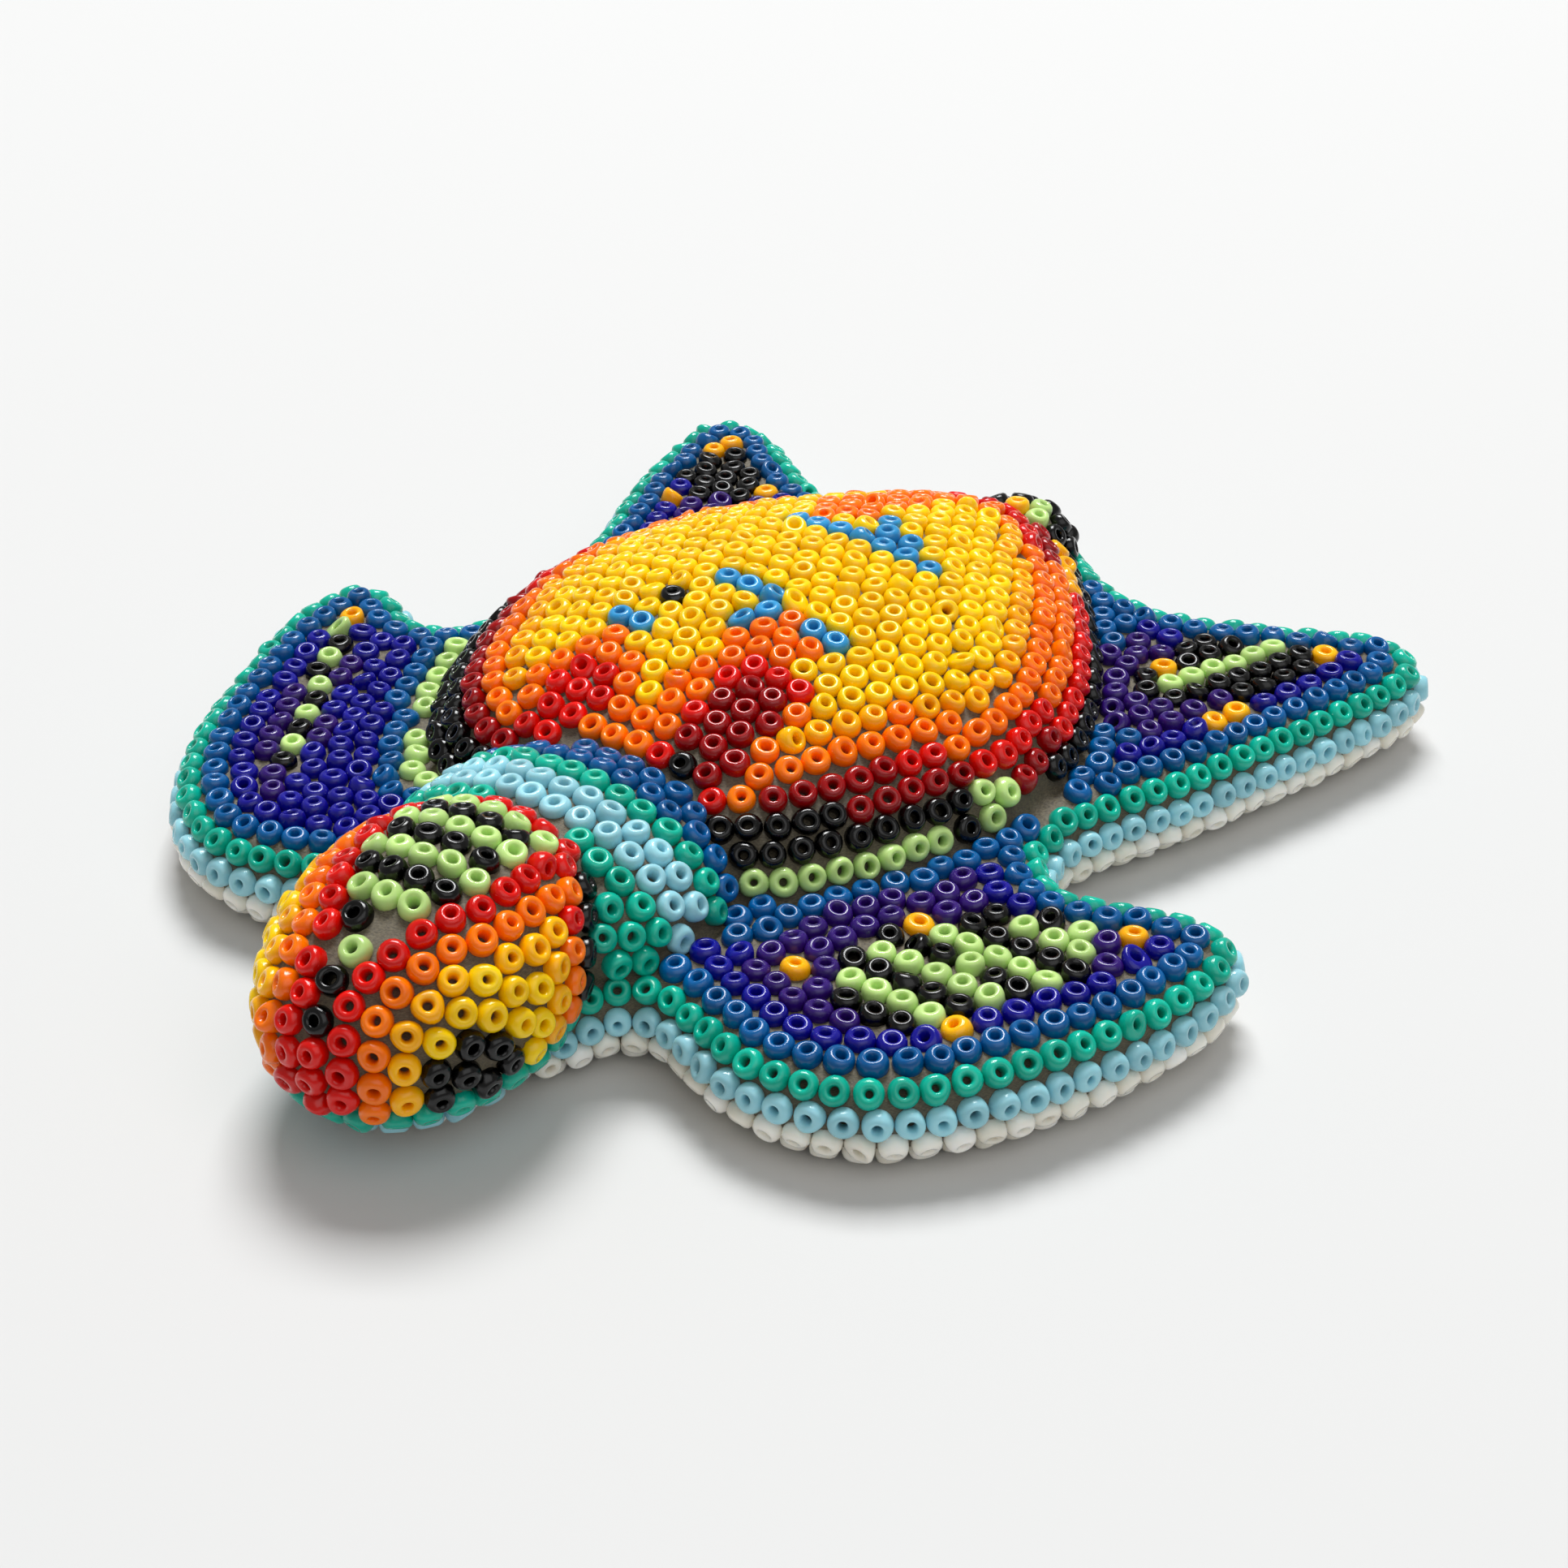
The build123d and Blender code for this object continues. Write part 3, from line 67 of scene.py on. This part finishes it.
# Glass colours as the eye sees them (sRGB) for each slot, and how much light enters the bead.
GLASS = {
    "white_glass": ((1.0, 0.975, 0.92), 0.6),
    "sky_glass": ((0.60, 0.82, 0.87), 0.5),
    "teal_glass": ((0.03, 0.69, 0.59), 0.35),
    "blue_glass": ((0.0, 0.34, 0.58), 0.3),
    "indigo_glass": ((0.05, 0.04, 0.54), 0.3),
    "violet_glass": ((0.18, 0.06, 0.42), 0.25),
    "black_glass": ((0.01, 0.01, 0.012), 0.0),
    "green_glass": ((0.73, 0.86, 0.53), 0.5),
    "amber_glass": ((1.0, 0.70, 0.0), 0.55),
    "yellow_glass": ((1.0, 0.80, 0.0), 0.6),
    "orange_glass": ((1.0, 0.47, 0.0), 0.55),
    "red_glass": ((0.84, 0.05, 0.02), 0.3),
    "maroon_glass": ((0.60, 0.01, 0.03), 0.25),
    "steel_glass": ((0.20, 0.58, 0.80), 0.35),
}


def linear(colour):
    """sRGB to linear light."""
    return tuple(c / 12.92 if c <= 0.04045 else ((c + 0.055) / 1.055) ** 2.4 for c in colour)


# ---- reading the frame ----
def mesh_arrays(obj):
    """Vertex places in metres and triangles of a CAD node."""
    mesh = obj.data
    mesh.calc_loop_triangles()
    places = np.empty(len(mesh.vertices) * 3)
    mesh.vertices.foreach_get("co", places)
    triangles = np.empty(len(mesh.loop_triangles) * 3, dtype=np.int64)
    mesh.loop_triangles.foreach_get("vertices", triangles)
    world = np.array(obj.matrix_world)
    places = places.reshape(-1, 3) @ world[:3, :3].T + world[:3, 3]
    return places, triangles.reshape(-1, 3)


def islands(places, triangles):
    """An island number for every triangle, joining vertices that lie in one place."""
    keys = np.round(places / SAME_PLACE).astype(np.int64)
    _, merged = np.unique(keys, axis=0, return_inverse=True)
    corners = merged.ravel()[triangles]
    label = np.arange(corners.max() + 1)
    while True:
        lowest = label[corners].min(axis=1)
        fresh = label.copy()
        for corner in range(3):
            np.minimum.at(fresh, corners[:, corner], lowest)
        fresh = fresh[fresh]
        if np.array_equal(fresh, label):
            break
        label = fresh
    _, number = np.unique(label[corners[:, 0]], return_inverse=True)
    return number.ravel()


def bead_places(obj):
    """Centre and axis of every bead in a CAD node."""
    places, triangles = mesh_arrays(obj)
    number = islands(places, triangles)
    corners = places[triangles]
    area = np.linalg.norm(
        np.cross(corners[:, 1] - corners[:, 0], corners[:, 2] - corners[:, 0]), axis=1
    )
    middle = corners.mean(axis=1)
    count = number.max() + 1
    weight = np.bincount(number, area, count)
    centres = np.column_stack([
        np.bincount(number, area * middle[:, a], count) / weight for a in range(3)
    ])
    offset = middle - centres[number]
    axes = np.empty((count, 3))
    spread = np.zeros((count, 3, 3))
    np.add.at(spread, number, area[:, None, None] * offset[:, :, None] * offset[:, None, :])
    for n in range(count):
        axes[n] = np.linalg.eigh(spread[n])[1][:, 0]
    return centres, axes


# ---- one seed bead ----
HOLE, CREST, OUTER, HALF = 0.28, 0.56, 1.07, 0.82      # radii and half length, in millimetres
ROUNDNESS = 2.25            # 2 is an ellipse, more is squarer
SEGMENTS = 20               # points round a bead
STEPS = 14                  # points round the cross-section of its glass
# How beads differ at random, with limits where a far-off value would look broken.
LENGTH_SPREAD, LENGTH_LIMITS = 0.08, (0.76, 1.14)
HOLE_SPREAD, HOLE_LIMITS = 0.1, (0.8, 1.25)
HOLE_DRIFT = 0.035          # sideways, in millimetres
SLANT = 0.07                # of each end
STRONG_SLANT, STRONG_SLANT_SHARE = 0.25, 0.06      # added at the outer end of a few beads
OUT_OF_ROUND = 0.02
LEAN = 0.06                 # of a bead in the wax
STRONG_LEAN, STRONG_LEAN_SHARE = 0.26, 0.08        # of a few beads instead
SKEW = (0.31, 0.42, 0.85)   # any direction that no bead's axis lies exactly along
# How beads grow towards their neighbours: limits, how far two may overlap in millimetres,
# how many neighbours count, and a random spread.
SIZE_LIMITS = (0.98, 1.12)
OVERLAP = 0.16
NEIGHBOURS = 4
SIZE_SPREAD = 0.012


def bead_profile():
    """Cross-section of a bead's glass: distance from the hole's axis and height."""
    turn = np.linspace(0, 2 * math.pi, STEPS, endpoint=False)
    bulge = 2 / ROUNDNESS
    across = np.sign(np.cos(turn)) * np.abs(np.cos(turn)) ** bulge
    along = np.sign(np.sin(turn)) * np.abs(np.sin(turn)) ** bulge
    radius = CREST + np.where(across > 0, OUTER - CREST, CREST - HOLE) * across
    return np.column_stack([radius, HALF * along])


PROFILE = bead_profile()
ANGLES = np.linspace(0, 2 * math.pi, SEGMENTS, endpoint=False)
OUTWARD = (PROFILE[:, 0] - HOLE) / (OUTER - HOLE)


def bead_vertices(axis_frame, centre, size):
    """One uneven bead, its hole along the frame's third direction, none of it below the ground."""
    length = np.clip(RNG.normal(1.0, LENGTH_SPREAD), *LENGTH_LIMITS)
    hole_size = np.clip(RNG.normal(1.0, HOLE_SPREAD), *HOLE_LIMITS)
    hole_shift = RNG.normal(0, HOLE_DRIFT, 2)
    slants = RNG.normal(0, SLANT, (2, 2))
    if RNG.random() < STRONG_SLANT_SHARE:
        slants[0] += RNG.normal(0, STRONG_SLANT, 2)
    squash, swell = RNG.normal(0, OUT_OF_ROUND, 2)
    phase = RNG.uniform(0, 2 * math.pi, 2)
    turn = ANGLES[:, None]
    radius = PROFILE[:, 0] * (OUTWARD + (1 - OUTWARD) * hole_size) * size
    wobble = 1 + squash * np.cos(2 * turn + phase[0])
    wobble = wobble + swell * np.cos(3 * turn + phase[1]) * OUTWARD
    x = radius * wobble * np.cos(turn) + hole_shift[0] * (1 - OUTWARD)
    y = radius * wobble * np.sin(turn) + hole_shift[1] * (1 - OUTWARD)
    z = np.broadcast_to(PROFILE[:, 1] * length, x.shape).copy()
    for end, slant in zip((1, -1), slants):
        reach = np.clip(end * z / HALF, 0, 1)
        z += reach * (slant[0] * x + slant[1] * y)
    local = np.stack([x, y, z], axis=2).reshape(-1, 3) * MM
    places = local @ axis_frame.T + centre
    places[:, 2] = np.maximum(places[:, 2], 0.0)
    return places


def tilted_frame(axis):
    """A right-handed frame whose third direction is the bead's axis, leaned a little at random."""
    lean = LEAN if RNG.random() > STRONG_LEAN_SHARE else STRONG_LEAN
    axis = axis + RNG.normal(0, lean, 3)
    axis /= np.linalg.norm(axis)
    side = np.cross(axis, SKEW)
    side /= np.linalg.norm(side)
    return np.column_stack([side, np.cross(axis, side), axis])


def bead_faces():
    """Quads of one bead."""
    faces = []
    for segment in range(SEGMENTS):
        ahead = (segment + 1) % SEGMENTS
        for step in range(STEPS):
            above = (step + 1) % STEPS
            faces.append((
                segment * STEPS + step, ahead * STEPS + step,
                ahead * STEPS + above, segment * STEPS + above,
            ))
    return np.array(faces)


FACES = bead_faces()


def new_mesh(name, vertices, faces):
    """A smooth-shaded object from arrays."""
    mesh = bpy.data.meshes.new(name)
    mesh.vertices.add(len(vertices))
    mesh.vertices.foreach_set("co", np.asarray(vertices, dtype=np.float32).ravel())
    mesh.loops.add(faces.size)
    mesh.loops.foreach_set("vertex_index", faces.astype(np.int32).ravel())
    mesh.polygons.add(len(faces))
    starts = np.arange(0, faces.size, faces.shape[1], dtype=np.int32)
    mesh.polygons.foreach_set("loop_start", starts)
    mesh.update(calc_edges=True)
    mesh.polygons.foreach_set("use_smooth", np.ones(len(faces), dtype=bool))
    obj = bpy.data.objects.new(name, mesh)
    bpy.context.scene.collection.objects.link(obj)
    return obj


# ---- materials ----
def material(name):
    """A new node material, its node tree and its principled shader."""
    made = bpy.data.materials.new(name)
    made.use_nodes = True
    return made, made.node_tree, made.node_tree.nodes["Principled BSDF"]


def add_noise(tree, scale, detail):
    """A noise texture."""
    noise = tree.nodes.new("ShaderNodeTexNoise")
    noise.inputs["Scale"].default_value = scale
    noise.inputs["Detail"].default_value = detail
    return noise


def add_bump(tree, shader, noise, strength, depth):
    """Fine relief from a noise, its depth in millimetres."""
    bump = tree.nodes.new("ShaderNodeBump")
    bump.inputs["Strength"].default_value = strength
    bump.inputs["Distance"].default_value = depth * MM
    tree.links.new(noise.outputs["Fac"], bump.inputs["Height"])
    tree.links.new(bump.outputs["Normal"], shader.inputs["Normal"])


def add_two_tones(tree, shader, noise, tones, span):
    """A base colour that passes from one tone to the other over a span of a noise's values."""
    ramp = tree.nodes.new("ShaderNodeValToRGB")
    for element, tone, position in zip(ramp.color_ramp.elements, tones, span):
        element.position = position
        element.color = (*linear(tone), 1)
    tree.links.new(noise.outputs["Fac"], ramp.inputs["Fac"])
    tree.links.new(ramp.outputs["Color"], shader.inputs["Base Color"])


def let_light_in(shader, weight, radius, scale):
    """Light that enters the surface and leaves it nearby, on a scale in millimetres."""
    shader.inputs["Subsurface Weight"].default_value = weight
    shader.inputs["Subsurface Radius"].default_value = radius
    shader.inputs["Subsurface Scale"].default_value = scale * MM


def glass_material(name, colour, light_inside):
    """Glossy seed-bead glass that lets in some light, uneven in tone from bead to bead."""
    made, tree, shader = material(name)
    nodes, links = tree.nodes, tree.links
    tone = nodes.new("ShaderNodeAttribute")
    tone.attribute_name = "tone"
    hue = nodes.new("ShaderNodeHueSaturation")
    hue.inputs["Color"].default_value = (*linear(colour), 1)
    value = nodes.new("ShaderNodeMapRange")
    value.inputs["To Min"].default_value = 0.86
    value.inputs["To Max"].default_value = 1.1
    links.new(tone.outputs["Fac"], value.inputs["Value"])
    links.new(value.outputs["Result"], hue.inputs["Value"])
    links.new(hue.outputs["Color"], shader.inputs["Base Color"])
    shader.inputs["Roughness"].default_value = 0.13
    shader.inputs["IOR"].default_value = 1.5
    shader.inputs["Specular IOR Level"].default_value = 0.3
    shader.inputs["Coat Weight"].default_value = 0.25
    shader.inputs["Coat Roughness"].default_value = 0.03
    let_light_in(shader, light_inside, (1.0, 0.85, 0.7), 0.9)
    add_bump(tree, shader, add_noise(tree, 900, 2), 0.12, 0.05)
    return made


def wax_material():
    """Greyish-yellow beeswax and resin, cloudy and finely pitted."""
    made, tree, shader = material("wax")
    tones = (0.27, 0.245, 0.20), (0.47, 0.43, 0.34)
    add_two_tones(tree, shader, add_noise(tree, 420, 5), tones, (0.3, 0.72))
    shader.inputs["Roughness"].default_value = 0.42
    let_light_in(shader, 0.2, (1.0, 0.8, 0.5), 0.6)
    add_bump(tree, shader, add_noise(tree, 1900, 4), 0.42, 0.12)
    return made


def wood_material():
    """Pale carved wood with grain along the body."""
    made, tree, shader = material("wood")
    where = tree.nodes.new("ShaderNodeTexCoord")
    stretch = tree.nodes.new("ShaderNodeMapping")
    stretch.inputs["Scale"].default_value = (260, 26, 260)
    grain = add_noise(tree, 1.0, 6)
    tree.links.new(where.outputs["Object"], stretch.inputs["Vector"])
    tree.links.new(stretch.outputs["Vector"], grain.inputs["Vector"])
    tones = (0.62, 0.46, 0.30), (0.80, 0.66, 0.47)
    add_two_tones(tree, shader, grain, tones, (0.0, 1.0))
    shader.inputs["Roughness"].default_value = 0.7
    add_bump(tree, shader, grain, 0.3, 0.1)
    return made


def paper_material():
    """White paper with a faint tooth."""
    made, tree, shader = material("white_paper")
    shader.inputs["Base Color"].default_value = (0.63, 0.63, 0.627, 1)
    shader.inputs["Roughness"].default_value = 0.75
    add_bump(tree, shader, add_noise(tree, 1200, 2), 0.05, 0.02)
    return made


# ---- wax ----
WAX_GRID = 0.4              # fineness of the mesh, in millimetres
# Each bead squeezes the wax up into a ridge round it and presses a dip into it, in millimetres.
RIDGE_HEIGHT, RIDGE_WIDTH = 0.16, 0.25
DIP_DEPTH, DIP_RADIUS, DIP_SLOPE = 0.2, 0.72, 0.3


def even_wax():
    """The outer skin of the wax, without the hollow for the core, as an even fine mesh."""
    places, triangles = mesh_arrays(NODES["wax_coat"])
    number = islands(places, triangles)
    widths = [np.ptp(places[triangles[number == n]][..., 0]) for n in range(number.max() + 1)]
    skin = triangles[number == np.argmax(widths)]
    used, corners = np.unique(skin, return_inverse=True)
    obj = new_mesh("wax_coat_pressed", places[used], corners.reshape(-1, 3))
    weld = bmesh.new()
    weld.from_mesh(obj.data)
    bmesh.ops.remove_doubles(weld, verts=weld.verts, dist=SAME_PLACE)
    weld.to_mesh(obj.data)
    weld.free()
    remesh = obj.modifiers.new("even", "REMESH")
    remesh.mode = "VOXEL"
    remesh.voxel_size = WAX_GRID * MM
    remesh.use_smooth_shade = True
    smooth = obj.modifiers.new("soft", "SMOOTH")
    smooth.iterations = 2
    graph = bpy.context.evaluated_depsgraph_get()
    mesh = bpy.data.meshes.new_from_object(obj.evaluated_get(graph))
    obj.modifiers.clear()
    obj.data = mesh
    return obj


def press_wax(mesh, beads):
    """Moves the wax up round each bead and down under it, with a search tree of the beads."""
    count = len(mesh.vertices)
    coords = np.empty(count * 3, dtype=np.float32)
    normals = np.empty(count * 3, dtype=np.float32)
    mesh.vertices.foreach_get("co", coords)
    mesh.vertices.foreach_get("normal", normals)
    coords, normals = coords.reshape(-1, 3), normals.reshape(-1, 3)
    gap = np.array([beads.find(place)[2] for place in coords]) / MM
    ridge = RIDGE_HEIGHT * np.exp(-(((gap - OUTER) / RIDGE_WIDTH) ** 2))
    dip = DIP_DEPTH * np.clip((DIP_RADIUS - gap) / DIP_SLOPE, 0, 1)
    coords += normals * ((ridge - dip) * MM)[:, None].astype(np.float32)
    mesh.vertices.foreach_set("co", coords.ravel())
    mesh.update()


# ---- build ----
CORE_POINTS = 3             # their mean stands for the core's nearest place to a bead


def search_tree(places):
    """A tree that finds the nearest of many places."""
    tree = KDTree(len(places))
    for index, place in enumerate(places):
        tree.insert(place, index)
    tree.balance()
    return tree


bead_nodes = sorted(name for name in NODES if name.endswith("_beads"))
laid = {name: bead_places(NODES[name]) for name in bead_nodes}
all_centres = np.vstack([centres for centres, _ in laid.values()])
bead_tree = search_tree(all_centres)
core_tree = search_tree(mesh_arrays(NODES["wooden_core"])[0])


def bead_size(centre):
    """The scale at which a bead meets its neighbours."""
    gaps = [gap for _, _, gap in bead_tree.find_n(centre, NEIGHBOURS + 1)][1:]
    room = min(np.mean(gaps), gaps[0] + OVERLAP * MM)
    return np.clip(room / 2 / (OUTER * MM), *SIZE_LIMITS) * RNG.normal(1.0, SIZE_SPREAD)


def outward(centre, axis):
    """A bead's axis, turned to point away from the wooden core."""
    around = core_tree.find_n(centre, CORE_POINTS)
    nearest = np.mean([np.array(place) for place, _, _ in around], axis=0)
    return axis if (centre - nearest) @ axis > 0 else -axis


def glass_beads(name, centres, axes):
    """The beads of one CAD node in one mesh, with a random tone for each bead."""
    parts = []
    for centre, axis in zip(centres, axes):
        axis_frame = tilted_frame(outward(centre, axis))
        parts.append(bead_vertices(axis_frame, centre, bead_size(centre)))
    count = STEPS * SEGMENTS
    faces = (FACES[None] + np.arange(len(centres))[:, None, None] * count).reshape(-1, 4)
    beads = new_mesh(name + "_glass", np.vstack(parts), faces)
    tone = beads.data.attributes.new("tone", "FLOAT", "POINT")
    tone.data.foreach_set("value", np.repeat(RNG.uniform(0, 1, len(centres)), count))
    return beads


materials = {}
for name, (centres, axes) in laid.items():
    obj = glass_beads(name, centres, axes)
    slot = SLOTS[name]
    if slot not in materials:
        materials[slot] = glass_material(slot, *GLASS[slot])
    obj.data.materials.append(materials[slot])
    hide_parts(name)
    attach(obj, "root")

wax = even_wax()
press_wax(wax.data, bead_tree)
wax.data.materials.clear()
wax.data.materials.append(wax_material())
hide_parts("wax_coat")
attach(wax, "root")

core = NODES["wooden_core"]
core.data.materials.clear()
core.data.materials.append(wood_material())

# ---- floor ----
FLOOR_REACH = 1.6           # metres from the middle to each side
FLOOR_LINES = 40
FLOOR_GAP = 0.02 * MM       # between the floor and the lowest bead
low, high = (np.array(corner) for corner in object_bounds())


def floor_sheet():
    """A flat square sheet of quads just under the figure."""
    line = np.linspace(-FLOOR_REACH, FLOOR_REACH, FLOOR_LINES)
    places = np.array([(x, y, low[2] - FLOOR_GAP) for y in line for x in line])
    first = np.array([
        row * FLOOR_LINES + column
        for row in range(FLOOR_LINES - 1) for column in range(FLOOR_LINES - 1)
    ])
    quads = np.column_stack([first, first + 1, first + FLOOR_LINES + 1, first + FLOOR_LINES])
    return new_mesh("floor", places, quads)


floor = floor_sheet()
floor.data.materials.append(paper_material())
floor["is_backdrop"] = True

# ---- camera ----
CAMERA_AZIMUTH, CAMERA_ELEVATION = math.radians(37.0), math.radians(34.2)
CAMERA_DISTANCE = 0.211
CAMERA_LENS, SENSOR_WIDTH = 59.9, 36
AIM = Vector((-0.95, 7.78, 0.0)) * MM      # from the figure's middle to the camera's target
scene = bpy.context.scene
target = Vector(((low[0] + high[0]) / 2, (low[1] + high[1]) / 2, 0.0)) + AIM
to_camera = Vector((
    math.sin(CAMERA_AZIMUTH) * math.cos(CAMERA_ELEVATION),
    -math.cos(CAMERA_AZIMUTH) * math.cos(CAMERA_ELEVATION),
    math.sin(CAMERA_ELEVATION),
))
camera_data = bpy.data.cameras.new("camera")
camera_data.sensor_width = SENSOR_WIDTH
camera_data.lens = CAMERA_LENS
camera_data.clip_start = 0.01
camera = bpy.data.objects.new("camera", camera_data)
scene.collection.objects.link(camera)
camera.location = target + to_camera * CAMERA_DISTANCE
camera.rotation_euler = (-to_camera).to_track_quat("-Z", "Y").to_euler()
scene.camera = camera

# ---- light ----
LIGHT_COLOUR = (0.985, 0.995, 1.0)
# Directions on the floor as the camera sees them. The key light is behind the figure and the
# fill light in front of it.
right = Vector((math.cos(CAMERA_AZIMUTH), math.sin(CAMERA_AZIMUTH), 0))
back = Vector((-math.sin(CAMERA_AZIMUTH), math.cos(CAMERA_AZIMUTH), 0))
KEY_PLACE = 0.03 * right + 0.90 * back + Vector((0, 0, 1.55))
FILL_PLACE = 0.30 * right - 0.60 * back + Vector((0, 0, 0.9))


def soft_box(name, place, size, power):
    """A rectangular area light aimed at the origin."""
    light = bpy.data.lights.new(name, "AREA")
    light.shape = "RECTANGLE"
    light.size, light.size_y = size
    light.energy = power
    light.color = LIGHT_COLOUR
    obj = bpy.data.objects.new(name, light)
    scene.collection.objects.link(obj)
    obj.location = place
    obj.rotation_euler = (-place).to_track_quat("-Z", "Y").to_euler()


soft_box("key", KEY_PLACE, (0.80, 0.68), 36.0)
soft_box("fill", FILL_PLACE, (1.2, 1.0), 3.5)
scene.view_settings.view_transform = "Standard"
world = bpy.data.worlds.new("studio")
world.use_nodes = True
background = world.node_tree.nodes["Background"]
background.inputs["Color"].default_value = (1.0, 0.985, 0.96, 1)
background.inputs["Strength"].default_value = 0.31
scene.world = world
